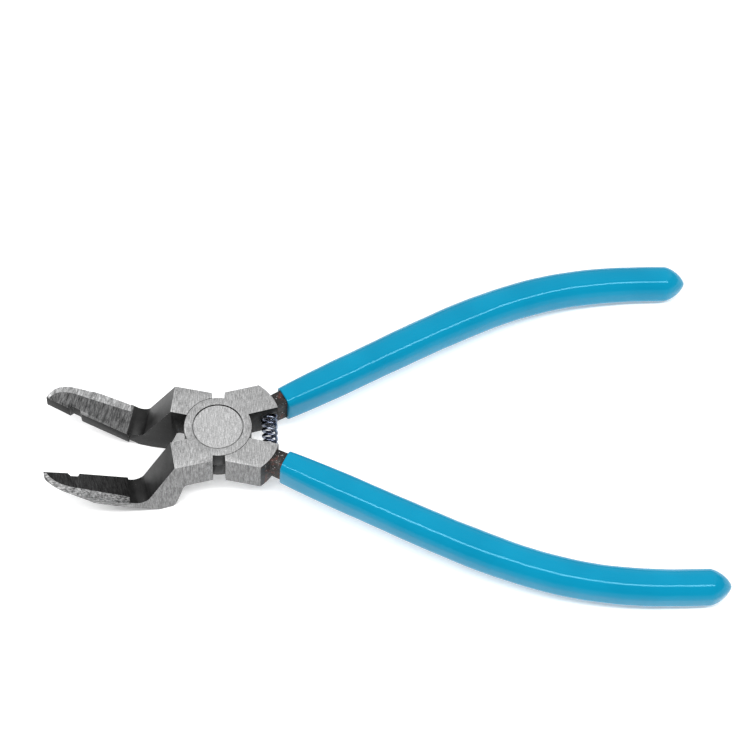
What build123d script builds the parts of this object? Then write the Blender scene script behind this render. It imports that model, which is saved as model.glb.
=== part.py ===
"""Spring-loaded angled nippers: a lap-joint pliers head, cranked blades and two dip-moulded grips.

Frame: the origin is on the pivot axis, level with the ground front face of the head. +X points to the
handles, +Y to the front half's handle and +Z out of the front face, along the pivot.

Each half is drawn as it lies with the blades shut, where its blade edge is on local y = 0, and is then
turned about the pivot by its share of the opening. The back half is the front half's outline mirrored in
y, so one set of outlines serves both: "side" is +1 for the front half and -1 for the back half.
"""

import os
from math import cos, radians, sin, tan

from build123d import *

os.makedirs("parts", exist_ok=True)

# ------------------------------------------------------------------ driving dimensions (mm, degrees)
FRONT, BACK = 1, -1
HALF_OPENING = 14.0  # each half is turned this far from shut

# head
HEAD_DEPTH = 11.0
LAP_GAP = 0.10  # between the two layers of the lap joint
BOSS_RADIUS = 9.63
BOSS_CLEARANCE = 0.15  # between a boss and the other half's lobes
LOBE_INNER = 1.75  # the lobes' inner walls stand this far off the mating plane

# rivet
RIVET_HEAD_RADIUS = 7.2
RIVET_HEAD_DEPTH = 2.6
RIVET_SHANK_RADIUS = 4.5
RIVET_TAIL_RADIUS = 6.2
RIVET_TAIL_DEPTH = 2.4
RIM_CHAMFER = 0.22  # the groove round the rivet head
RUNNING_FIT = 0.05

# jaws: a crank down from the head's front face, then a blade that rises towards the tip
CRANK_TOP = -14.2
CRANK_ANGLE = 61.4
CRANK_DEPTH = 17.9
CRANK_FILLET = 3.0
BLADE_ANGLE = 29.25
BLADE_ROOT = -27.2
BLADE_TIP = -50.8
JAW_WIDTH = 10.35
FACE_SKEW = 0.03  # for each mm across the jaw, its face runs this much towards the tip
FACE_ROLL = 0.12  # and climbs this much
HEEL_LOW, HEEL_FRONT, HEEL_REAR = -22.3, -25.0, -15.9
# ground backs, each a plane: x and z on the blade edge, fall for each mm of x, climb for each mm across
BLADE_BACK = (-50.5, -6.8, 0.58, 0.25)
NOSE_BACK = (-50.8, -6.6, 1.05, 0.9)
EDGE_GAP = 0.04  # the blade edge stops this short of the mating plane at the tip
ROOT_GAP = 0.55  # and this short of it at the root, so that the tips meet first
GLASS_NOTCH = ((-40.8, 0.0), (-41.4, 1.0), (-43.4, 1.0), (-44.1, 0.0))
BEVEL_LINE = ((-28.3, 7.8), (-36.0, 6.4), (-43.0, 5.2), (-47.4, 3.7), (-50.1, 0.2))
BEVEL_SLOPE = 12.0

# handles
HANDLE_Z = -HEAD_DEPTH / 2
HANDLE_LINE = (
    (13.0, 3.75),
    (20.7, 5.62),
    (47.0, 12.1),
    (74.0, 18.6),
    (92.0, 21.8),
    (110.0, 22.8),
    (130.0, 20.5),
    (150.9, 15.45),
)
HANDLE_SLOPES = (0.24, -0.26)  # at the head and at the far end
STEEL_HEIGHT = 8.6
# share of the handle line, width of the steel there: a narrow tang, then the core of the grip
STEEL_WIDTHS = ((0.0, 4.3), (0.06, 4.4), (0.12, 5.6), (0.2, 6.0), (0.4, 6.0), (0.6, 6.0), (0.8, 5.8), (0.94, 5.0))
# sections of the grip square to the handle line: share of its length, width, height, corner radius
GRIP_SECTIONS = (
    (0.057, 7.3, 10.6, 2.7),
    (0.1, 8.4, 10.9, 3.2),
    (0.18, 9.3, 11.0, 3.7),
    (0.26, 9.7, 11.1, 4.1),
    (0.36, 10.1, 11.2, 4.4),
    (0.48, 10.4, 11.2, 4.5),
    (0.6, 10.1, 11.2, 4.5),
    (0.74, 9.9, 11.1, 4.4),
    (0.86, 9.8, 11.0, 4.4),
    (0.955, 9.7, 10.9, 4.4),
)
DOME_INSET = 4.2  # how far the grip's end draws in on every side
DOME_POWER = 4 / 3  # 1 is a quarter ellipse, more is nearer a cone

# return spring, square to the tool between the two handle-side lobes
SPRING_X = 14.9
SPRING_RADIUS = 1.9
SPRING_WIRE = 0.9
SPRING_LENGTH = 16.8
SPRING_TURNS = 9
SEAT_RADIUS = 2.6
SEAT_CLEARANCE = 0.05


# ------------------------------------------------------------------ construction planes
def plan(side, height=0.0):
    """The plan plane of one half, turned open about the pivot."""
    return Plane.XY.rotated((0, 0, side * HALF_OPENING)).offset(height)


def elevation(side):
    """The side elevation of one half, on its mating plane, normal towards the front half's jaw."""
    turn = radians(side * HALF_OPENING)
    return Plane(origin=(0, 0, 0), x_dir=(cos(turn), sin(turn), 0), z_dir=(sin(turn), -cos(turn), 0))


def mirrored(side, points):
    """Points of one half, as given for side +1 and mirrored in y for side -1."""
    return [(x, side * y) for x, y in points]


def bend_x():
    """Where the crank would meet the blade face on the mating plane, without the fillet."""
    return CRANK_TOP - CRANK_DEPTH / tan(radians(CRANK_ANGLE))


def face_height(x, across):
    """Height of the blade face at x, this far across from the mating plane."""
    return (bend_x() - x - FACE_SKEW * across) * tan(radians(BLADE_ANGLE)) - CRANK_DEPTH + FACE_ROLL * across


# ------------------------------------------------------------------ sketches shared by the two halves
def handle_lobe(side):
    """The handle-side lobe of the head: a straight flank, then a rounded end over the tang."""
    inner, root, notch_foot, notch_corner, peak, shoulder, bulge = mirrored(
        side,
        (
            (18.2, LOBE_INNER),
            (3.0, LOBE_INNER),
            (3.0, 5.2),
            (4.7, 10.6),
            (14.9, 10.45),
            (15.8, 9.2),
            (17.3, 6.3),
        ),
    )
    with BuildSketch(plan(side)) as lobe:
        with BuildLine():
            Polyline(inner, root, notch_foot, notch_corner, peak, shoulder)
            ThreePointArc(shoulder, bulge, inner)
        make_face()
    return lobe.sketch


def jaw_lobe(side):
    """The jaw-side lobe of the head, as far as the top of the crank."""
    corners = ((-4.3, 10.57), (-15.0, JAW_WIDTH), (-14.3, LOBE_INNER), (-3.0, LOBE_INNER), (-3.0, 6.1))
    with BuildSketch(plan(side)) as lobe:
        with BuildLine():
            Polyline(*mirrored(-side, corners), close=True)
        make_face()
    return lobe.sketch


def above_face(side):
    """What is cut away in front of the jaw: over the crank, the bend and the blade face."""
    crank_slope = tan(radians(CRANK_ANGLE))
    past_tip, top = BLADE_TIP - 2, 2.0
    with BuildSketch(elevation(side)) as profile:
        with BuildLine():
            face = FilletPolyline(
                (CRANK_TOP + top / crank_slope, top),
                (bend_x(), -CRANK_DEPTH),
                (past_tip, face_height(past_tip, 0)),
                radius=CRANK_FILLET,
            )
            Polyline(face @ 1, (past_tip, top), face @ 0)
        make_face()
    return profile.sketch


def below_heel(side):
    """What is cut away behind the jaw: under the heel and up its rear to the back of the head."""
    x, z, fall, _ = BLADE_BACK
    tip_side = (x - 2, z + 2 * fall)
    under = -30.0
    with BuildSketch(elevation(side)) as profile:
        with BuildLine():
            back = FilletPolyline(
                tip_side,
                (HEEL_FRONT, z - (HEEL_FRONT - x) * fall),
                (HEEL_REAR, HEEL_LOW),
                (-12.6, -HEAD_DEPTH),
                (-10.8, -HEAD_DEPTH),
                radius=(9.0, 3.2, 1.4),
            )
            Polyline(back @ 1, (-9.0, -HEAD_DEPTH), (-9.0, under), (tip_side[0], under), back @ 0)
        make_face()
    return profile.sketch


def jaw_outline(side):
    """The jaw in plan: inner wall, step to the blade edge, glass notch, rounded tip and outer side."""
    head_end, step, tip = (-10.0, JAW_WIDTH), 1.3, (BLADE_TIP, EDGE_GAP)
    inner = [(-10.0, LOBE_INNER), (CRANK_TOP, LOBE_INNER), (BLADE_ROOT, step), (BLADE_ROOT, ROOT_GAP)]
    notch = [(x, y + EDGE_GAP) for x, y in GLASS_NOTCH]
    shoulder = (-29.5, 9.9)
    nose = [tip, (-50.35, 2.0), (-49.0, 4.3), (-46.0, 6.5), (-41.0, 8.0), shoulder]
    with BuildSketch(plan(side)) as outline:
        with BuildLine():
            Polyline(*mirrored(-side, [shoulder, head_end, *inner, *notch, tip]))
            Spline(*mirrored(-side, nose), tangents=((0, -side), (1, -side * 0.1)))
        make_face()
    return outline.sketch


# ------------------------------------------------------------------ features added to a half
def ground_plane(side, x, z, fall, climb):
    """A flat through (x, z) on the mating plane that falls along x and climbs across the jaw."""
    own = plan(side)
    normal = own.from_local_coords(Vector(fall, side * climb, 1))
    return Plane(origin=own.from_local_coords(Vector(x, 0, z)), z_dir=normal)


def add_jaw(side):
    """The jaw: its plan, cut to the cranked face, to the heel and to the two ground backs."""
    extrude(jaw_outline(side), amount=-30)
    rolled = elevation(side).from_local_coords(Vector(-FACE_SKEW, FACE_ROLL, side))
    square = elevation(side).from_local_coords(Vector(0, 0, side))
    extrude(above_face(side), amount=JAW_WIDTH + 2, dir=rolled, mode=Mode.SUBTRACT)
    extrude(below_heel(side), amount=JAW_WIDTH + 2, dir=square, mode=Mode.SUBTRACT)
    split(bisect_by=ground_plane(side, *BLADE_BACK), keep=Keep.TOP)
    split(bisect_by=ground_plane(side, *NOSE_BACK), keep=Keep.TOP)


def grind_bevel(side):
    """A shallow bevel along the blade's outer edge, swept along the line where it leaves the face."""
    own = plan(side)
    points = [own.from_local_coords(Vector(x, -side * y, face_height(x, y))) for x, y in BEVEL_LINE]
    with BuildLine() as line:
        Spline(*points)
    path = line.edges()[0]
    fall = face_height(-1, 0) - face_height(0, 0)
    climb = face_height(0, 1) - face_height(0, 0)
    face_normal = ground_plane(side, BLADE_TIP, 0, fall, climb).z_dir
    reach, top = 5.0, 2.0
    wedge = ((0, 0), (reach, -reach * tan(radians(BEVEL_SLOPE))), (reach, top), (0, top))
    outward = face_normal.cross(path % 0) * side
    with BuildSketch(Plane(path @ 0, x_dir=outward, z_dir=path % 0)) as cutter:
        with BuildLine():
            Polyline(*mirrored(side, wedge), close=True)
        make_face()
    sweep(cutter.sketch, path=path, mode=Mode.SUBTRACT)


def add_head(side):
    """Two lobes through the full depth, cut away round the other half's boss, and this half's boss."""
    layer = (HEAD_DEPTH - LAP_GAP) / 2
    own, other = (0, -HEAD_DEPTH) if side == FRONT else (-HEAD_DEPTH, 0)
    extrude(handle_lobe(side), amount=-HEAD_DEPTH)
    extrude(jaw_lobe(side), amount=-HEAD_DEPTH)
    for face_z, radius, depth, mode in (
        (other, BOSS_RADIUS + BOSS_CLEARANCE, layer + LAP_GAP, Mode.SUBTRACT),
        (own, BOSS_RADIUS, layer, Mode.ADD),
    ):
        inward = -1 if face_z == 0 else 1
        with BuildSketch(Plane.XY.offset(face_z)) as disc:
            Circle(radius)
        extrude(disc.sketch, amount=inward * depth, mode=mode)


def handle_path(side):
    """The centre line of one handle, in the half's own plan."""
    near, far = HANDLE_SLOPES
    with BuildLine() as line:
        Spline(*mirrored(side, HANDLE_LINE), tangents=((1, side * near), (1, side * far)))
    return line.edges()[0]


def add_steel_handle(side, mode=Mode.ADD):
    """The forged handle: a tang out of the lobe that widens into the core of the grip."""
    path = handle_path(side)
    left, right = [
        [path @ share + (path % share).rotate(Axis.Z, 90 * hand) * (width / 2) for share, width in STEEL_WIDTHS]
        for hand in (1, -1)
    ]
    with BuildSketch(plan(side, HANDLE_Z)) as outline:
        with BuildLine():
            Spline(*left)
            Line(left[-1], right[-1])
            Spline(*right)
            Line(right[0], left[0])
        make_face()
    extrude(outline.sketch, amount=STEEL_HEIGHT / 2, both=True, mode=mode)


def add_grip_bar(side, sections):
    """A bar along one handle's centre line, lofted through rounded sections square to it."""
    path = handle_path(side)
    rings = []
    for share, width, height, corner in sections:
        centre = plan(side, HANDLE_Z).from_local_coords(path @ share)
        forward = (path % share).rotate(Axis.Z, side * HALF_OPENING)
        with BuildSketch(Plane(centre, x_dir=(0, 0, 1), z_dir=forward)) as ring:
            RectangleRounded(height, width, corner)
        rings.append(ring.sketch)
    loft(rings)


def evenly(sections, count=16):
    """The same bar at evenly spaced shares of the handle line, blended between the given sections."""
    start, stop = sections[0][0], sections[-1][0]
    rings = []
    for number in range(count):
        share = start + (stop - start) * number / (count - 1)
        below, above = next(pair for pair in zip(sections, sections[1:]) if share <= pair[1][0] + 1e-9)
        blend = (share - below[0]) / (above[0] - below[0])
        rings.append((share, *(low + (high - low) * blend for low, high in zip(below[1:], above[1:]))))
    return rings


def bore_spring_seat(side):
    """The blind seat of the return spring, in the inner wall of the handle-side lobe."""
    floor = SPRING_LENGTH / 2 + SEAT_CLEARANCE
    with BuildSketch(Plane(origin=(SPRING_X, 0, HANDLE_Z), x_dir=(1, 0, 0), z_dir=(0, side, 0))) as seat:
        Circle(SEAT_RADIUS)
    extrude(seat.sketch, amount=floor, mode=Mode.SUBTRACT)


def turned(points, mode=Mode.ADD):
    """A round about the pivot axis, from its (radius, z) outline starting and ending on the axis."""
    with BuildSketch(Plane.XZ) as section:
        with BuildLine():
            Polyline(*points, close=True)
        make_face()
    revolve(section.sketch, axis=Axis.Z, mode=mode)


# ------------------------------------------------------------------ front half
with BuildPart() as front_half:
    add_jaw(FRONT)
    grind_bevel(FRONT)
    add_head(FRONT)
    add_steel_handle(FRONT)
    bore_spring_seat(FRONT)
    head_floor = -RIVET_HEAD_DEPTH
    bore = [(RIVET_HEAD_RADIUS + RIM_CHAMFER, 0), (RIVET_HEAD_RADIUS, -RIM_CHAMFER)]
    bore += [(RIVET_HEAD_RADIUS, head_floor), (RIVET_SHANK_RADIUS, head_floor)]
    turned([(0, 0), *bore, (RIVET_SHANK_RADIUS, -HEAD_DEPTH), (0, -HEAD_DEPTH)], mode=Mode.SUBTRACT)
front_half.part.label = "front_half"

# ------------------------------------------------------------------ back half
with BuildPart() as back_half:
    add_jaw(BACK)
    grind_bevel(BACK)
    add_head(BACK)
    add_steel_handle(BACK)
    bore_spring_seat(BACK)
    shank, tail = RIVET_SHANK_RADIUS + RUNNING_FIT, RIVET_TAIL_RADIUS + RUNNING_FIT
    tail_floor = RIVET_TAIL_DEPTH + RUNNING_FIT - HEAD_DEPTH
    bore = [(shank, 0), (shank, tail_floor), (tail, tail_floor), (tail, -HEAD_DEPTH)]
    turned([(0, 0), *bore, (0, -HEAD_DEPTH)], mode=Mode.SUBTRACT)
back_half.part.label = "back_half"

# ------------------------------------------------------------------ pivot rivet
with BuildPart() as pivot_rivet:
    tail_top = RIVET_TAIL_DEPTH - HEAD_DEPTH
    head = [(RIVET_HEAD_RADIUS - RIM_CHAMFER, 0), (RIVET_HEAD_RADIUS, -RIM_CHAMFER)]
    head += [(RIVET_HEAD_RADIUS, -RIVET_HEAD_DEPTH), (RIVET_SHANK_RADIUS, -RIVET_HEAD_DEPTH)]
    tail = [(RIVET_SHANK_RADIUS, tail_top), (RIVET_TAIL_RADIUS, tail_top)]
    tail += [(RIVET_TAIL_RADIUS, RIM_CHAMFER - HEAD_DEPTH), (RIVET_TAIL_RADIUS - RIM_CHAMFER, -HEAD_DEPTH)]
    turned([(0, 0), *head, *tail, (0, -HEAD_DEPTH)])
pivot_rivet.part.label = "pivot_rivet"

# ------------------------------------------------------------------ return spring
with BuildPart() as return_spring:
    coil_length = SPRING_LENGTH - SPRING_WIRE
    with BuildLine():
        coil = Helix(
            pitch=coil_length / SPRING_TURNS,
            height=coil_length,
            radius=SPRING_RADIUS,
            center=(SPRING_X, -coil_length / 2, HANDLE_Z),
            direction=(0, 1, 0),
        )
    with BuildSketch(Plane(coil @ 0, z_dir=coil % 0)):
        Circle(SPRING_WIRE / 2)
    sweep(path=coil, is_frenet=True)
return_spring.part.label = "return_spring"


# ------------------------------------------------------------------ grips
def grip_sections():
    """The grip's own sections, then a bullet-shaped end that draws in on every side."""
    last, width, height, corner = GRIP_SECTIONS[-1]
    rings = evenly(GRIP_SECTIONS)
    for turn in range(15, 91, 15):
        advance = sin(radians(turn)) ** DOME_POWER * (1 - last)
        inset = DOME_INSET * (1 - abs(cos(radians(turn))) ** DOME_POWER)
        rings.append((last + advance, width - 2 * inset, height - 2 * inset, corner - 0.9 * inset))
    return rings


with BuildPart() as upper_grip:
    add_grip_bar(FRONT, grip_sections())
    add_steel_handle(FRONT, mode=Mode.SUBTRACT)
upper_grip.part.label = "upper_grip"

with BuildPart() as lower_grip:
    add_grip_bar(BACK, grip_sections())
    add_steel_handle(BACK, mode=Mode.SUBTRACT)
lower_grip.part.label = "lower_grip"

# ------------------------------------------------------------------ export
for piece in (front_half, back_half, pivot_rivet, return_spring, upper_grip, lower_grip):
    export_step(piece.part, f"parts/{piece.part.label}.step")
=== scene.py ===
from math import cos, pi, radians, sin, sqrt, tan

import bmesh
import bpy
import numpy as np
from mathutils import Matrix, Vector


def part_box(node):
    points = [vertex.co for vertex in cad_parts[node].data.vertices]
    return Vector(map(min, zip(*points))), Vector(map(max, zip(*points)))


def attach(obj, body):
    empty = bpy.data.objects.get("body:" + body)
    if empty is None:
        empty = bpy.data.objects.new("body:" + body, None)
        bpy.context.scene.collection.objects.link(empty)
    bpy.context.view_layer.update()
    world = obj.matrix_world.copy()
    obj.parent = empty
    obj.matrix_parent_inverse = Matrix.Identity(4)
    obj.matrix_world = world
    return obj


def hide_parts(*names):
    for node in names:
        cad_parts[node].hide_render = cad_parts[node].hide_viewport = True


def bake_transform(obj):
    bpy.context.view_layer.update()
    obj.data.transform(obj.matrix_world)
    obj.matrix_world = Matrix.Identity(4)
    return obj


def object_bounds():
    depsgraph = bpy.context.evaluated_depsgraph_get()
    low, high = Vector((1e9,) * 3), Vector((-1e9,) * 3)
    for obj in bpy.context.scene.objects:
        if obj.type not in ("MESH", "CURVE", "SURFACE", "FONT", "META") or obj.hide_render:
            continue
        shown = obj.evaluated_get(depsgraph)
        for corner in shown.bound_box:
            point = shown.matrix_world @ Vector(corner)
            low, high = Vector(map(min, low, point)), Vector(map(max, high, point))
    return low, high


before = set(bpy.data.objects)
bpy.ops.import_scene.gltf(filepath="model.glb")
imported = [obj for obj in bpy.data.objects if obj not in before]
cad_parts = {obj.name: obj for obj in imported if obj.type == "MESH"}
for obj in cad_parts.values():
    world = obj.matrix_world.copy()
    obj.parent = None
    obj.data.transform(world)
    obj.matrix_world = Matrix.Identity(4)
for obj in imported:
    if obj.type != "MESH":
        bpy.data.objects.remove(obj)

# Angled spring-loaded nippers on a pale floor, in the frame of the CAD model: the origin is on the pivot at
# the head's front face, +X to the handles, +Y to the front half's handle and +Z out of the face. The limits
# of the finishes, the handle line and the grips' sections are in millimetres, and are turned into metres
# where they are used. Everything else is in metres, lights, camera and bump distances included.
# Each half is described as it lies with the blades shut, then turned open about the pivot: "side" is +1 for
# the front half and -1 for the back half, which is the same outline mirrored in y.

cad_low, cad_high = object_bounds()
MM = 0.001
FRONT, BACK = 1, -1
BODY = {FRONT: "front", BACK: "back"}
OPEN_ANGLE = radians(14.0)
HEAD_DEPTH = -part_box("pivot_rivet")[0].z
RIVET_HEAD = 7.2 * MM  # radius


# ------------------------------------------------------------------ node helpers
class Shader:
    """A Principled material and short ways to add the nodes that feed it."""

    def __init__(self, name, **inputs):
        self.material = bpy.data.materials.new(name)
        self.material.use_nodes = True
        self.tree = self.material.node_tree
        self.bsdf = self.tree.nodes["Principled BSDF"]
        for socket, value in inputs.items():
            self.bsdf.inputs[socket.replace("_", " ")].default_value = value
        self.object = self.tree.nodes.new("ShaderNodeTexCoord").outputs["Object"]

    def node(self, kind, **settings):
        made = self.tree.nodes.new(kind)
        for key, value in settings.items():
            setattr(made, key, value)
        return made

    def link(self, output, socket):
        self.tree.links.new(output, socket)

    def stretched(self, turn, scale):
        """Object coordinates turned about the pivot and scaled per axis, for grain that has a direction."""
        mapping = self.node("ShaderNodeMapping", vector_type="TEXTURE")
        mapping.inputs["Rotation"].default_value = (0, 0, turn)
        mapping.inputs["Scale"].default_value = [1 / value for value in scale]
        self.link(self.object, mapping.inputs["Vector"])
        return mapping.outputs["Vector"]

    def noise(self, vector, scale=1.0, detail=3.0, roughness=0.55):
        made = self.node("ShaderNodeTexNoise")
        made.inputs["Scale"].default_value = scale
        made.inputs["Detail"].default_value = detail
        made.inputs["Roughness"].default_value = roughness
        self.link(vector, made.inputs["Vector"])
        return made.outputs["Fac"]

    def ramp(self, factor, *stops):
        """A colour ramp through (position, colour) stops, where a colour is a grey level or an RGB triple."""
        made = self.node("ShaderNodeValToRGB")
        elements = made.color_ramp.elements
        while len(elements) < len(stops):
            elements.new(0.5)
        for element, (position, colour) in zip(elements, stops):
            element.position = position
            element.color = (*colour, 1) if isinstance(colour, tuple) else (colour, colour, colour, 1)
        self.link(factor, made.inputs["Fac"])
        return made.outputs["Color"]

    def mix(self, blend, first, second):
        made = self.node("ShaderNodeMix", data_type="RGBA", blend_type=blend)
        made.inputs[0].default_value = 1.0
        self.link(first, made.inputs[6])
        self.link(second, made.inputs[7])
        return made.outputs[2]

    def colour(self, output):
        self.link(output, self.bsdf.inputs["Base Color"])
        return self

    def roughness(self, factor, low, high):
        made = self.node("ShaderNodeMapRange")
        made.inputs["To Min"].default_value = low
        made.inputs["To Max"].default_value = high
        self.link(factor, made.inputs["Value"])
        self.link(made.outputs["Result"], self.bsdf.inputs["Roughness"])
        return self

    def bump(self, *heights):
        """Stacked bumps, each given as (height output, strength, distance)."""
        normal = None
        for height, strength, distance in heights:
            made = self.node("ShaderNodeBump")
            made.inputs["Strength"].default_value = strength
            made.inputs["Distance"].default_value = distance
            self.link(height, made.inputs["Height"])
            if normal:
                self.link(normal, made.inputs["Normal"])
            normal = made.outputs["Normal"]
        self.link(normal, self.bsdf.inputs["Normal"])
        return self


# ------------------------------------------------------------------ materials
PATCH_SHARE = 0.28  # the patches' noise scale as a share of the grinding lines'


def ground_steel(name, turn, dark, light, patch=0.12, speck=0.30, scale=(4200, 460, 460)):
    """Bright steel with short grinding lines: "scale" is fine across them and coarse along them."""
    shader = Shader(name, Metallic=1.0)
    fine = shader.noise(shader.stretched(turn, scale), detail=5.0, roughness=0.75)
    broad = shader.noise(shader.stretched(turn, [value * PATCH_SHARE for value in scale]), detail=2.0)
    mottle = shader.noise(shader.object, scale=2300.0, detail=3.0, roughness=0.65)
    lines = shader.ramp(fine, (0.36, dark), (0.64, light))
    patches = shader.ramp(broad, (0.3, 1 - patch), (0.7, 1.0))
    spots = shader.ramp(mottle, (0.34, 1 - speck), (0.60, 1.0))
    shader.colour(shader.mix("MULTIPLY", shader.mix("MULTIPLY", lines, patches), spots))
    shader.roughness(fine, 0.34, 0.56)
    return shader.bump((fine, 0.45, 0.00004), (mottle, 0.25, 0.00005)).material


def oxide_steel(name, dark, light):
    """Black oxide over forged steel: a soft sheen, faint mottling and a few rubbed specks."""
    shader = Shader(name, Metallic=0.7)
    cloud = shader.noise(shader.object, scale=260.0, detail=5.0, roughness=0.6)
    grain = shader.noise(shader.object, scale=2600.0, detail=2.0)
    base = shader.ramp(cloud, (0.3, dark), (0.72, light))
    specks = shader.ramp(grain, (0.66, 0.0), (0.74, 0.05))
    shader.colour(shader.mix("ADD", base, specks))
    shader.roughness(cloud, 0.38, 0.6)
    return shader.bump((grain, 0.25, 0.00003), (cloud, 0.3, 0.00012)).material


def groove_steel():
    """The rivet's groove: rubbed grey with speckled grime, and painted shade that turns it black towards +Y.
    """
    shader = Shader("rivet_groove", Metallic=0.6, Roughness=0.5)
    split = shader.node("ShaderNodeSeparateXYZ")
    shader.link(shader.object, split.inputs["Vector"])
    height = shader.node("ShaderNodeMapRange")
    height.inputs["From Min"].default_value = -RIVET_HEAD
    height.inputs["From Max"].default_value = RIVET_HEAD
    shader.link(split.outputs["Y"], height.inputs["Value"])
    grime = shader.noise(shader.object, scale=500.0, detail=3.0)
    # painted shade: the groove darkens to black towards +Y
    painted_shade_towards_y = shader.ramp(height.outputs["Result"], (0.60, 0.34), (0.82, 0.004))
    speckled = shader.ramp(grime, (0.35, 0.45), (0.6, 1.0))
    return shader.colour(shader.mix("MULTIPLY", painted_shade_towards_y, speckled)).material


def forge_scale():
    """The tangs, left as forged: brown-black scale with rusty tints and small bright flecks."""
    shader = Shader("forge_scale", Metallic=0.45)
    cloud = shader.noise(shader.object, scale=330.0, detail=5.0, roughness=0.7)
    tint = shader.noise(shader.object, scale=620.0, detail=3.0)
    fleck = shader.noise(shader.object, scale=1900.0, detail=2.0)
    black, brown, worn = (0.008, 0.007, 0.007), (0.022, 0.020, 0.019), (0.085, 0.076, 0.070)
    base = shader.ramp(cloud, (0.3, black), (0.52, brown), (0.68, worn))
    rust = shader.ramp(tint, (0.52, (0.0, 0.0, 0.0)), (0.68, (0.085, 0.020, 0.012)))
    bright = shader.ramp(fleck, (0.66, 0.0), (0.72, 0.40))
    shader.colour(shader.mix("ADD", shader.mix("ADD", base, rust), bright))
    shader.roughness(cloud, 0.45, 0.75)
    return shader.bump((cloud, 0.6, 0.0002), (fleck, 0.3, 0.00006)).material


def blued_wire():
    """Oiled blued spring wire with drawing lines along it."""
    shader = Shader("blued_wire", Metallic=1.0)
    cloud = shader.noise(shader.object, scale=700.0, detail=3.0)
    fine = shader.noise(shader.object, scale=5200.0, detail=1.0)
    shader.colour(shader.ramp(cloud, (0.38, (0.06, 0.07, 0.11)), (0.66, (0.36, 0.39, 0.46))))
    shader.roughness(cloud, 0.12, 0.22)
    return shader.bump((fine, 0.15, 0.00002)).material


def vinyl():
    """Glossy dip-moulded vinyl: near-even cyan, a skin that waves slightly, and a trace of orange peel."""
    tint = (0.34, 0.84, 1.0, 1.0)
    shader = Shader("grip_vinyl_gloss", Specular_IOR_Level=0.30, Specular_Tint=tint, IOR=1.5)
    broad = shader.noise(shader.object, scale=60.0, detail=2.0)
    peel = shader.noise(shader.object, scale=900.0, detail=2.0)
    wave = shader.noise(shader.object, scale=170.0, detail=1.0)
    shader.colour(shader.ramp(broad, (0.3, (0.001, 0.220, 0.375)), (0.7, (0.002, 0.246, 0.412))))
    shader.roughness(peel, 0.10, 0.14)
    return shader.bump((wave, 0.22, 0.0004), (peel, 0.06, 0.00003)).material


def floor_paper():
    """Pale backdrop paper with a barely visible tooth."""
    shader = Shader("floor_paper", Roughness=0.9, Specular_IOR_Level=0.1, Emission_Strength=0.26)
    tooth = shader.noise(shader.object, scale=900.0, detail=3.0)
    shader.bsdf.inputs["Emission Color"].default_value = (1, 1, 1, 1)
    shader.colour(shader.ramp(tooth, (0.3, 0.92), (0.7, 0.95)))
    return shader.bump((tooth, 0.1, 0.00005)).material


# ------------------------------------------------------------------ mesh helpers
def finished(bm, name, *materials):
    """A scene object from a bmesh, which is used up."""
    mesh = bpy.data.meshes.new(name)
    bm.to_mesh(mesh)
    bm.free()
    for material in materials:
        mesh.materials.append(material)
    made = bpy.data.objects.new(name, mesh)
    bpy.context.scene.collection.objects.link(made)
    return made


def skin(bm, rings):
    """A smooth closed tube through rings of vertices, with a flat cap at each end."""
    for before, after in zip(rings, rings[1:]):
        for i in range(len(before)):
            bm.faces.new((before[i], before[i - 1], after[i - 1], after[i]))
    bm.faces.new(rings[0])
    bm.faces.new(rings[-1])
    bmesh.ops.recalc_face_normals(bm, faces=bm.faces)
    for face in bm.faces:
        face.smooth = True


# ------------------------------------------------------------------ one half, as it lies shut
BLADE_SLOPE = tan(radians(29.25))
FACE_SKEW, FACE_ROLL = 0.03, 0.12  # for each mm across, the face runs to the tip and climbs this much
BLADE_START = -27.8  # the ground part of a blade starts here, just past its root
BLADE_LOW, HEEL_LOW = -20.0, -22.0  # below these lie the undersides of the blade and of the crank
BACK_END = 19.0  # the ground back face stops here
SIDE_END, TANG_START = 15.2, 15.9  # the ground sides stop, and the forged tangs start
SIDE_INSET = 8.5  # a ground side lies further out from the mating plane than this
GROOVE_RADIUS, BOSS_RADIUS = 8.0, 10.2  # faces nearer the pivot than these are the groove's and the boss's
CRANK_START = -14.0  # the crank runs down from the head's front face here
FACE_TOLERANCE = 0.1
EDGE_ROUND = 0.14 * MM  # edges are broken by this much
BOND = 0.002 * MM  # vertices closer than this are one


def opened(side):
    """The turn that takes one half from shut to how it lies in the model."""
    return Matrix.Rotation(side * OPEN_ANGLE, 4, "Z")


def blade_normal(side):
    """The blade face's own normal, in the shut half."""
    return Vector((BLADE_SLOPE, side * (FACE_ROLL - FACE_SKEW * BLADE_SLOPE), 1)).normalized()


def steel_finish(side, centre, normal):
    """Which finish a face of a half has, from where it lies in the shut half (mm) and its normal."""
    x, y, z = centre
    outward = -side * (1 if x < 0 else -1) * normal.y
    across = abs(y)
    on_blade = x < BLADE_START and z > BLADE_LOW
    if normal.z > 0.99 and z > -FACE_TOLERANCE:
        return "face"
    if normal.z < -0.99 and z < -HEAD_DEPTH / MM + FACE_TOLERANCE and x < BACK_END:
        return "back"
    radius = sqrt(x * x + y * y)
    if radius < GROOVE_RADIUS and 0.3 < abs(normal.z) < 0.95:
        return "groove"
    if radius < BOSS_RADIUS:
        return "oxide"
    if on_blade and normal.z > 0.5:
        return "blade" if normal.dot(blade_normal(side)) > cos(radians(6)) else "bevel"
    if outward > 0.45 and abs(normal.z) < 0.6 and x < SIDE_END and (across > SIDE_INSET or on_blade):
        return "flank" if on_blade else "side"
    if x > TANG_START and across > 0.5:
        return "scale"
    # crank faces are split by how far they face up into a lighter and a darker copy of the same oxide, which
    # is painted light and shade
    if x < CRANK_START and z > HEEL_LOW and normal.z > 0.25:
        return "shaded_bend" if normal.z > 0.56 else "crank"
    # faces turned sideways take the darker oxide copy, which is painted shade
    return "shaded_wall" if abs(normal.z) < 0.6 else "oxide"


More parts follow.
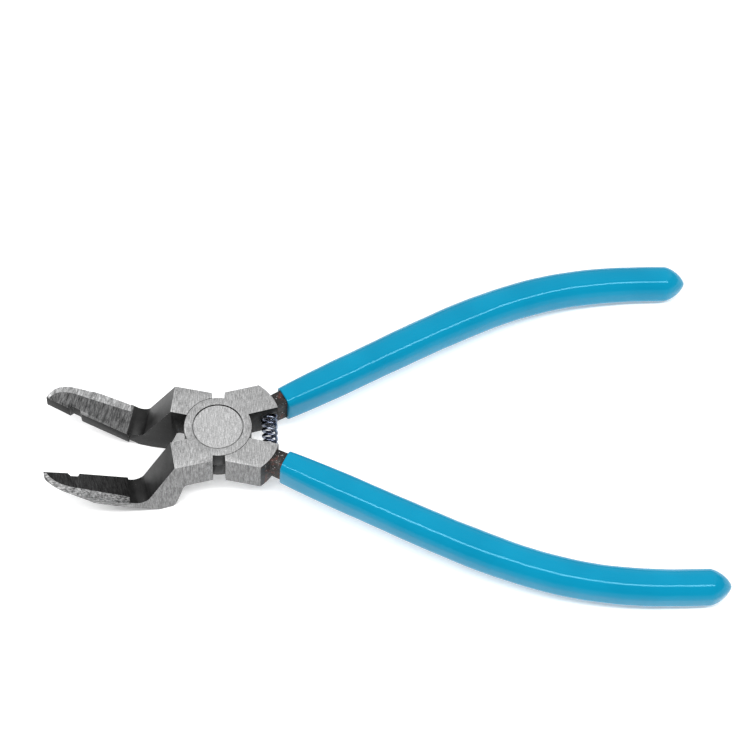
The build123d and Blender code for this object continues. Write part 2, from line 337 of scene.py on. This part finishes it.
def steel_half(side, node, name, finishes):
    """One forging: the CAD shape with its edges broken, and a finish for each of its surfaces."""
    shut = opened(side).inverted()
    bm = bmesh.new()
    bm.from_mesh(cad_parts[node].data)
    bm.transform(shut)
    bmesh.ops.remove_doubles(bm, verts=bm.verts, dist=BOND)
    bmesh.ops.dissolve_limit(bm, angle_limit=radians(0.5), verts=bm.verts, edges=bm.edges)
    root = Vector((BLADE_START * MM, 0, 0))
    everything = [*bm.verts, *bm.edges, *bm.faces]
    bmesh.ops.bisect_plane(bm, geom=everything, plane_co=root, plane_no=(1, 0, 0), dist=BOND)
    slots = list(finishes)
    for face in bm.faces:
        face.material_index = slots.index(steel_finish(side, face.calc_center_median() / MM, face.normal))
        face.smooth = True
    bm.transform(opened(side))
    half = finished(bm, name, *finishes.values())
    bevel = half.modifiers.new("broken edges", "BEVEL")
    bevel.width, bevel.segments = EDGE_ROUND, 2
    bevel.limit_method, bevel.angle_limit = "ANGLE", radians(28)
    bevel.material = slots.index("edge")
    bevel.miter_outer = "MITER_ARC"
    bevel.harden_normals = True
    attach(half, BODY[side])
    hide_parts(node)


# ------------------------------------------------------------------ rivet
def lathe(name, outline, steps, *materials):
    """A round about the pivot axis from its (radius, z) outline, which starts and ends on the axis."""
    bm = bmesh.new()
    rings = []
    for radius, z in outline:
        if radius == 0:
            rings.append([bm.verts.new((0, 0, z))])
        else:
            turns = [2 * pi * step / steps for step in range(steps)]
            rings.append([bm.verts.new((radius * cos(turn), radius * sin(turn), z)) for turn in turns])
    for upper, lower in zip(rings, rings[1:]):
        for step in range(steps):
            following = (step + 1) % steps
            corners = [upper[step % len(upper)], lower[step % len(lower)]]
            if len(lower) > 1:
                corners.append(lower[following])
            if len(upper) > 1:
                corners.append(upper[following])
            bm.faces.new(corners)
    bmesh.ops.recalc_face_normals(bm, faces=bm.faces)
    return finished(bm, name, *materials)


def pivot_rivet(face, groove):
    """The rivet: a flush head with a broken rim, and a tail spread into the back face."""
    rim = 0.22 * MM
    head, shank, tail = RIVET_HEAD, 4.5 * MM, 6.2 * MM
    head_depth, tail_depth = 2.6 * MM, 2.4 * MM
    outline = [(0, 0), (head * 0.5, 0), (head - rim * 1.2, 0), (head - rim, -rim * 0.06), (head, -rim)]
    outline += [(head, -head_depth), (shank, -head_depth), (shank, tail_depth - HEAD_DEPTH)]
    outline += [(tail, tail_depth - HEAD_DEPTH), (tail, rim - HEAD_DEPTH), (tail - rim, -HEAD_DEPTH)]
    outline += [(tail * 0.5, -HEAD_DEPTH), (0, -HEAD_DEPTH)]
    rivet = lathe("pivot_rivet_turned", outline, 128, face, groove)
    for polygon in rivet.data.polygons:
        flat = abs(polygon.normal.z) > 0.9
        polygon.material_index = 0 if flat else 1
        polygon.use_smooth = not flat
    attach(rivet, "front")
    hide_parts("pivot_rivet")


# ------------------------------------------------------------------ handle line and grips
HANDLE_Z = -5.5
HANDLE_LINE = np.array([
    (13.0, 3.75), (20.7, 5.62), (47.0, 12.1), (74.0, 18.6),
    (92.0, 21.8), (110.0, 22.8), (130.0, 20.5), (150.9, 15.45),
])
HANDLE_SLOPES = (0.24, -0.26)  # at the head and at the far end


def handle_curve(samples=400):
    """Points along one shut handle: the clamped cubic spline through its line, evenly spaced by length."""
    knots = np.concatenate([[0], np.cumsum(np.linalg.norm(np.diff(HANDLE_LINE, axis=0), axis=1))])
    gaps = np.diff(knots)
    ends = [np.array((1, slope)) / sqrt(1 + slope * slope) for slope in HANDLE_SLOPES]
    count = len(knots)
    system, wanted = np.zeros((count, count)), np.zeros((count, 2))
    system[0, 0] = system[-1, -1] = 1
    wanted[0], wanted[-1] = ends
    for i in range(1, count - 1):
        before, after = gaps[i - 1], gaps[i]
        system[i, i - 1:i + 2] = after, 2 * (before + after), before
        rises = (HANDLE_LINE[i] - HANDLE_LINE[i - 1]) / before, (HANDLE_LINE[i + 1] - HANDLE_LINE[i]) / after
        wanted[i] = 3 * (after * rises[0] + before * rises[1])
    slopes = np.linalg.solve(system, wanted)
    points = []
    for at in np.linspace(0, knots[-1], samples * 4):
        i = min(int(np.searchsorted(knots, at, side="right")) - 1, count - 2)
        gap, t = gaps[i], (at - knots[i]) / gaps[i]
        points.append(
            (1 + 2 * t) * (1 - t) ** 2 * HANDLE_LINE[i] + t * (1 - t) ** 2 * gap * slopes[i]
            + t * t * (3 - 2 * t) * HANDLE_LINE[i + 1] + t * t * (t - 1) * gap * slopes[i + 1]
        )
    points = np.array(points)
    length = np.concatenate([[0], np.cumsum(np.linalg.norm(np.diff(points, axis=0), axis=1))])
    even = np.linspace(0, length[-1], samples)
    return np.column_stack([np.interp(even, length, points[:, axis]) for axis in (0, 1)])


# sections of the sleeve square to the handle line: share of its length, width, height, corner radius
GRIP_SECTIONS = np.array([
    (0.057, 7.3, 10.6, 2.7), (0.1, 8.4, 10.9, 3.2), (0.18, 9.3, 11.0, 3.7), (0.26, 9.7, 11.1, 4.1),
    (0.36, 10.1, 11.2, 4.4), (0.48, 10.4, 11.2, 4.5), (0.6, 10.1, 11.2, 4.5), (0.74, 9.9, 11.1, 4.4),
    (0.86, 9.8, 11.0, 4.4), (0.955, 9.7, 10.9, 4.4),
])
DOME_POWER = 4 / 3  # 1 draws the end in along a quarter ellipse, more is nearer a cone
# share of the handle line, width of the steel there: a narrow tang, then the core of the grip
STEEL_WIDTHS = np.array([
    (0.0, 4.3), (0.06, 4.4), (0.12, 5.6), (0.2, 6.0), (0.4, 6.0), (0.6, 6.0), (0.8, 5.8), (0.94, 5.0),
])
STEEL_HEIGHT = 8.6
BORE_CLEARANCE = 0.04  # the bore is this much wider and higher than the steel in it
BORE_CORNER = 0.15
SKIN_INSET = 0.06  # the sleeve is this much narrower and lower than its sections
LIP_SHARE = 0.003  # the rolled mouth takes this share of the handle's length
AROUND = 72


def rounded_ring(width, height, corner):
    """A rounded rectangle as AROUND points (across, up), evenly spread over its outline by angle."""
    points = []
    for step in range(AROUND):
        turn = 2 * pi * (step + 0.5) / AROUND
        quadrant = int(turn / (pi / 2))
        within = (turn - quadrant * pi / 2) / (pi / 2)
        centre = [(1, 1), (-1, 1), (-1, -1), (1, -1)][quadrant]
        angle = quadrant * pi / 2 + within * pi / 2
        points.append((
            centre[0] * (width / 2 - corner) + corner * cos(angle),
            centre[1] * (height / 2 - corner) + corner * sin(angle),
        ))
    return points


def grip_rings():
    """Rings of the closed sleeve: from inside the bore, round the mouth, along the grip and over its end."""
    first, last = GRIP_SECTIONS[0, 0], GRIP_SECTIONS[-1, 0]

    def outer(share):
        return [np.interp(share, GRIP_SECTIONS[:, 0], GRIP_SECTIONS[:, column]) for column in (1, 2, 3)]

    def bore(share):
        width = np.interp(share, STEEL_WIDTHS[:, 0], STEEL_WIDTHS[:, 1])
        return width + BORE_CLEARANCE, STEEL_HEIGHT + BORE_CLEARANCE, BORE_CORNER

    rings = [(share, *bore(share)) for share in np.linspace(STEEL_WIDTHS[-1, 0] + 0.0005, first + 0.002, 60)]
    lip_depth = 0.7
    for turn in np.linspace(-0.5 * pi, 0.5 * pi, 12):
        spread = (1 + sin(turn)) / 2
        low, high = bore(first), outer(first)
        sizes = [a + (b - a) * spread for a, b in zip(low, high)]
        rings.append((first + LIP_SHARE - LIP_SHARE * cos(turn) * lip_depth, *sizes))
    for share in np.linspace(first + 0.006, last, 190):
        wave = 0.05 * sin(41 * share) + 0.035 * sin(97 * share + 1)
        width, height, corner = outer(share)
        rings.append((share, width + wave - SKIN_INSET, height - SKIN_INSET - 0.5 * abs(wave), corner))
    width, height, corner = outer(last)
    for turn in np.linspace(0, 0.5 * pi, 24)[1:]:
        keep = max(abs(cos(turn)) ** DOME_POWER, 0.02)
        share = last + (1 - last) * sin(turn) ** DOME_POWER
        rings.append((share, (width - SKIN_INSET) * keep, (height - SKIN_INSET) * keep, corner * keep))
    return rings


def grip(side, node, name, finish):
    """A dip-moulded sleeve over one handle, closed all over, with its bore and its rolled mouth."""
    line = handle_curve()
    tangents = np.gradient(line, axis=0)
    tangents /= np.linalg.norm(tangents, axis=1)[:, None]
    shares = np.linspace(0, 1, len(line))
    turn = opened(side)
    bm = bmesh.new()
    rings = []
    for share, width, height, corner in grip_rings():
        centre = [np.interp(share, shares, line[:, axis]) for axis in (0, 1)]
        forward = [np.interp(share, shares, tangents[:, axis]) for axis in (0, 1)]
        ring = []
        for across, up in rounded_ring(width, height, corner):
            x = centre[0] - forward[1] * across
            y = centre[1] + forward[0] * across
            ring.append(bm.verts.new(turn @ Vector((x * MM, side * y * MM, (HANDLE_Z + up) * MM))))
        rings.append(ring)
    skin(bm, rings)
    sleeve = finished(bm, name, finish)
    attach(sleeve, BODY[side])
    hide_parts(node)


# ------------------------------------------------------------------ return spring
CLOSED_PITCH = 2.04  # of the end turns, in wire radii, so that they almost touch
FIRST_ANGLE = 0.7  # where the wire starts, in radians about the coil


def return_spring(finish):
    """The coil spring, with closed end turns."""
    low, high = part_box("return_spring")
    wire = 0.9 * MM / 2
    radius = (high.z - low.z) / 2 - wire
    centre = (low + high) / 2
    turns, end_turns, steps_per_turn, around = 9.0, 0.9, 48, 16
    length = high.y - low.y - 2 * wire
    bm = bmesh.new()
    rings = []
    steps = int(turns * steps_per_turn)
    dead = end_turns * CLOSED_PITCH * wire
    for step in range(steps + 1):
        turn = turns * step / steps
        if turn < end_turns:
            along = dead * turn / end_turns
        elif turn > turns - end_turns:
            along = length - dead * (turns - turn) / end_turns
        else:
            along = dead + (length - 2 * dead) * (turn - end_turns) / (turns - 2 * end_turns)
        angle = 2 * pi * turn + FIRST_ANGLE
        out = Vector((cos(angle), 0, sin(angle)))
        middle = centre + out * radius + Vector((0, along - length / 2, 0))
        ring = []
        for spoke in range(around):
            phase = 2 * pi * spoke / around
            ring.append(bm.verts.new(middle + wire * (out * cos(phase) + Vector((0, sin(phase), 0)))))
        rings.append(ring)
    skin(bm, rings)
    spring = finished(bm, "return_spring_wire", finish)
    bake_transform(spring)
    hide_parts("return_spring")


# ------------------------------------------------------------------ build the object
oxide = oxide_steel("black_oxide", 0.008, 0.038)
edge = ground_steel("rubbed_edge", 0.0, 0.30, 0.80)
groove = groove_steel()
scale = forge_scale()
# the crank's bend, where it faces up, gets a darker copy of the oxide than the rest of the crank: painted
# shade
shaded_bend = oxide_steel("bend_oxide_painted_shade", 0.010, 0.030)
# the walls get a darker copy of the black oxide: painted shade on the faces that turn sideways out of the
# light
shaded_wall = oxide_steel("wall_oxide_painted_shade", 0.004, 0.020)
# dark and light levels of the finishes that differ between the halves, and the bevel's grain. The two
# forgings are alike, so the different levels are painted light and shade: the back half's crank, blade and
# bevel are painted lighter than the front half's, and both blades are painted darker than the ground faces,
# as painted shade for the dark surroundings they reflect.
CRANK_PAINTED_LIGHT_LEVELS = {FRONT: (0.016, 0.060), BACK: (0.026, 0.074)}
BLADE_PAINTED_LIGHT_LEVELS = {FRONT: (0.022, 0.105), BACK: (0.055, 0.370)}
BEVEL_PAINTED_LIGHT_LEVELS = {FRONT: (0.05, 1.0), BACK: (0.26, 1.0)}
BEVEL_GRAIN = {FRONT: (420, 2200, 2200), BACK: (2600, 500, 500)}
for side, node in ((FRONT, "front_half"), (BACK, "back_half")):
    turn = side * OPEN_ANGLE
    bevel_painted_light_levels, bevel_grain = BEVEL_PAINTED_LIGHT_LEVELS[side], BEVEL_GRAIN[side]
    steel_half(side, node, f"{node}_forging", {
        "oxide": oxide,
        "shaded_wall": shaded_wall,
        "shaded_bend": shaded_bend,
        "crank": oxide_steel(f"{node}_crank", *CRANK_PAINTED_LIGHT_LEVELS[side]),
        "face": ground_steel(f"{node}_face", 0.0, 0.27, 0.76),
        "back": ground_steel(f"{node}_back", radians(9), 0.32, 0.80),
        # the ground sides are a darker copy of the face's ground steel: painted shade, darker than the face
        # for how light falls on the sides
        "side": ground_steel(
            f"{node}_side", turn, 0.11, 0.38, patch=0.20, speck=0.22, scale=(3400, 1500, 420)
        ),
        "flank": ground_steel(f"{node}_flank", turn, 0.04, 0.55, patch=0.5, scale=(350, 2400, 2400)),
        "bevel": ground_steel(f"{node}_bevel", turn, *bevel_painted_light_levels, patch=0.40, scale=bevel_grain),
        "blade": ground_steel(f"{node}_blade", turn, *BLADE_PAINTED_LIGHT_LEVELS[side], patch=0.4, scale=(2800, 400, 400)),
        "edge": edge,
        "groove": groove,
        "scale": scale,
    })
pivot_rivet(ground_steel("rivet_face", 0.0, 0.38, 0.84), groove)
return_spring(blued_wire())
grip_finish = vinyl()
grip(FRONT, "upper_grip", "upper_grip_sleeve", grip_finish)
grip(BACK, "lower_grip", "lower_grip_sleeve", grip_finish)


# ------------------------------------------------------------------ floor, lights and camera
def rest_floor():
    """A large pale floor through the two places the tool lies on: the heels of the jaws and the grip ends."""
    heel_x, grip_end_x, gap = -19.0 * MM, 138.0 * MM, 0.2 * MM
    heel = Vector((heel_x, 0, cad_low.z))
    grip_end = Vector((grip_end_x, 0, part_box("upper_grip")[0].z))
    along = (grip_end - heel).normalized()
    bpy.ops.mesh.primitive_plane_add(size=40.0)
    floor = bpy.context.object
    floor.name = "floor"
    up = along.cross(Vector((0, -1, 0)))
    floor.matrix_world = Matrix.Translation(heel - up * gap) @ Matrix(
        (along, Vector((0, 1, 0)), up)
    ).transposed().to_4x4()
    floor.data.materials.append(floor_paper())


def softbox(name, direction, distance, size, power):
    """A rectangular white area light, placed in one direction from a point on the handles and facing it."""
    target = Vector((0.035, 0, 0))
    lamp = bpy.data.lights.new(name, "AREA")
    lamp.shape = "RECTANGLE"
    lamp.size, lamp.size_y = size
    lamp.energy = power
    light = bpy.data.objects.new(name, lamp)
    bpy.context.scene.collection.objects.link(light)
    light.location = target + Vector(direction).normalized() * distance
    light.rotation_euler = (light.location - target).to_track_quat("Z", "Y").to_euler()


def studio():
    """Plain soft light: a pale sky, a large softbox behind, and a long strip overhead for the gloss."""
    world = bpy.data.worlds.new("studio")
    world.use_nodes = True
    sky = world.node_tree.nodes["Background"]
    sky.inputs["Color"].default_value = (0.98, 0.99, 1.0, 1)
    sky.inputs["Strength"].default_value = 0.35
    bpy.context.scene.world = world
    softbox("key", direction=(0.05, 0.62, 0.85), distance=1.5, size=(3.4, 2.6), power=17.5)
    softbox("strip", direction=(0.0, -0.33, 0.94), distance=0.8, size=(1.3, 0.11), power=7.8)
    bpy.context.scene.view_settings.view_transform = "Standard"


CAMERA_AT = (0.0036, -0.3028, 0.5046)
CAMERA_BACK = (-0.07054, -0.53314, 0.84309)  # from the tool towards the camera
CAMERA_UP = (0.01391, 0.84458, 0.53525)
CAMERA_LENS, CAMERA_SENSOR = 98.54, 36.0  # mm


def camera():
    """A long lens looking down on the tool from in front of the lower grip."""
    lens = bpy.data.cameras.new("camera")
    lens.lens = CAMERA_LENS
    lens.sensor_width = CAMERA_SENSOR
    lens.shift_y = 0.0013
    lens.clip_end = 20.0
    view = bpy.data.objects.new("camera", lens)
    bpy.context.scene.collection.objects.link(view)
    back = Vector(CAMERA_BACK).normalized()
    up = Vector(CAMERA_UP).normalized()
    axes = Matrix((up.cross(back), up, back)).transposed()
    view.matrix_world = Matrix.Translation(Vector(CAMERA_AT)) @ axes.to_4x4()
    bpy.context.scene.camera = view


rest_floor()
studio()
camera()
